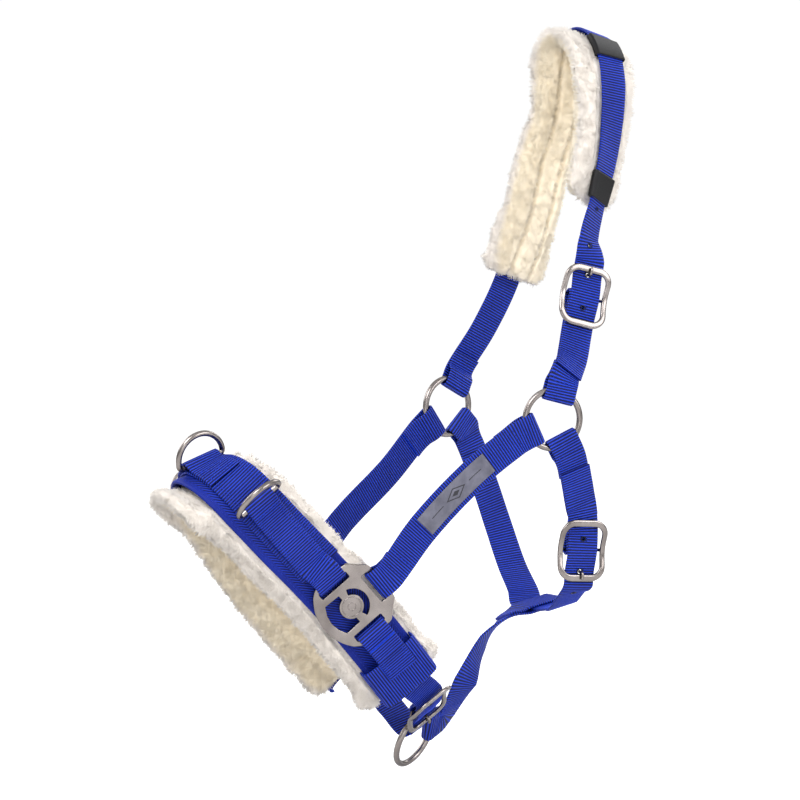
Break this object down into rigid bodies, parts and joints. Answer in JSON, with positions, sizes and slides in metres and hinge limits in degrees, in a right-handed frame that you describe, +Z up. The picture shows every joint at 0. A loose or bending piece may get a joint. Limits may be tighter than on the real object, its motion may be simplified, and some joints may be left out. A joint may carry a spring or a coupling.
{
  "type": "head halter",
  "caption": "Padded horse head halter: fleece-lined noseband with hinged lunging rings, steel side plates, cheek straps, buckled crown with poll pad, throat strap and jaw strap.",
  "frame": {"origin": "the poll rest: middle of the crown's underside, where the halter lies on the top of the head behind the ears", "axes": "+Z up, -Y towards the nose, +X towards the near side, where the buckles are"},
  "size_m": [0.1775, 0.4075, 0.5808],
  "materials": {
    "blue_webbing": "ribbed nylon webbing",
    "blue_fabric": "woven twill band",
    "cream_fleece": "plush fleece",
    "satin_steel": "satin",
    "grey_label": "satin woven label",
    "black_elastic": "matte elastic"
  },
  "bodies": {
    "halter": {"centre_ring_patch": "blue_webbing", "cheek_label": "grey_label", "chin_billet": "blue_webbing", "chin_tab": "blue_webbing", "crown_strap": "blue_webbing", "crown_tab": "blue_webbing", "jaw_strap": "blue_webbing", "near_cheek_strap": "blue_webbing", "near_chin_keeper": "blue_webbing", "near_lower_keeper": "black_elastic", "near_nose_strap": "blue_webbing", "near_rear_strap": "blue_webbing", "near_side_plate": "satin_steel", "near_upper_keeper": "black_elastic", "nose_webbing": "blue_webbing", "noseband_fabric": "blue_fabric", "noseband_lining": "cream_fleece", "off_cheek_strap": "blue_webbing", "off_chin_keeper": "blue_webbing", "off_lower_keeper": "black_elastic", "off_nose_strap": "blue_webbing", "off_rear_strap": "blue_webbing", "off_side_plate": "satin_steel", "off_upper_keeper": "black_elastic", "poll_pad": "cream_fleece", "throat_strap": "blue_webbing", "throat_tab": "blue_webbing"},
    "centre_lunge_ring": {"centre_lunge_ring": "satin_steel"},
    "near_lunge_ring": {"near_lunge_ring": "satin_steel"},
    "off_lunge_ring": {"off_lunge_ring": "satin_steel"},
    "near_cheek_ring": {"near_cheek_ring": "satin_steel"},
    "off_cheek_ring": {"off_cheek_ring": "satin_steel"},
    "chin_ring": {"chin_ring": "satin_steel"},
    "chin_buckle_frame": {"chin_buckle_frame": "satin_steel"},
    "chin_buckle_prong": {"chin_buckle_prong": "satin_steel"},
    "throat_buckle_frame": {"throat_buckle_frame": "satin_steel"},
    "throat_buckle_prong": {"throat_buckle_prong": "satin_steel"},
    "crown_buckle_frame": {"crown_buckle_frame": "satin_steel"},
    "crown_buckle_prong": {"crown_buckle_prong": "satin_steel"}
  },
  "joints": [
    {"name": "centre_lunge_ring_hinge", "type": "hinge", "parent": "halter", "child": "centre_lunge_ring", "pos_m": [0, -0.34184, -0.30192], "axis": [0, -0.9404, -0.3401], "range_deg": [-65, 95]},
    {"name": "near_lunge_ring_hinge", "type": "hinge", "parent": "halter", "child": "near_lunge_ring", "pos_m": [0.04477, -0.31678, -0.32946], "axis": [-0.2007, -0.7541, -0.6254], "range_deg": [-100, 70]},
    {"name": "off_lunge_ring_hinge", "type": "hinge", "parent": "halter", "child": "off_lunge_ring", "pos_m": [-0.0466, -0.31813, -0.32822], "axis": [-0.2233, 0.7331, 0.6424], "range_deg": [-100, 70]},
    {"name": "near_cheek_ring_spin", "type": "hinge", "parent": "halter", "child": "near_cheek_ring", "pos_m": [0.079, -0.081, -0.275], "axis": [0.9848, -0.1736, 0], "continuous": true},
    {"name": "off_cheek_ring_spin", "type": "hinge", "parent": "halter", "child": "off_cheek_ring", "pos_m": [-0.079, -0.081, -0.275], "axis": [-0.9848, -0.1736, 0], "continuous": true},
    {"name": "chin_ring_spin", "type": "hinge", "parent": "halter", "child": "chin_ring", "pos_m": [-0.01478, -0.1487, -0.52783], "axis": [0.8026, 0.4414, -0.4013], "continuous": true},
    {"name": "chin_frame_rock", "type": "hinge", "parent": "halter", "child": "chin_buckle_frame", "pos_m": [0.02, -0.16, -0.495], "axis": [-0.0006, 0.8418, 0.5397], "range_deg": [-3, 1]},
    {"name": "throat_frame_rock", "type": "hinge", "parent": "halter", "child": "throat_buckle_frame", "pos_m": [0.072, -0.052, -0.377], "axis": [0.1166, 0.9914, -0.0592], "range_deg": [-1, 2]},
    {"name": "crown_frame_rock", "type": "hinge", "parent": "halter", "child": "crown_buckle_frame", "pos_m": [0.064, -0.0455, -0.183], "axis": [-0.1276, -0.9606, 0.2469], "range_deg": [-2, 2]},
    {"name": "chin_prong_hinge", "type": "hinge", "parent": "chin_buckle_frame", "child": "chin_buckle_prong", "pos_m": [0.02, -0.16, -0.495], "axis": [0.0006, -0.8418, -0.5397], "range_deg": [0, 4]},
    {"name": "throat_prong_hinge", "type": "hinge", "parent": "throat_buckle_frame", "child": "throat_buckle_prong", "pos_m": [0.072, -0.052, -0.377], "axis": [-0.1166, -0.9914, 0.0592], "range_deg": [0, 4]},
    {"name": "crown_prong_hinge", "type": "hinge", "parent": "crown_buckle_frame", "child": "crown_buckle_prong", "pos_m": [0.064, -0.0455, -0.183], "axis": [0.1276, 0.9606, -0.2469], "range_deg": [0, 4]}
  ]
}
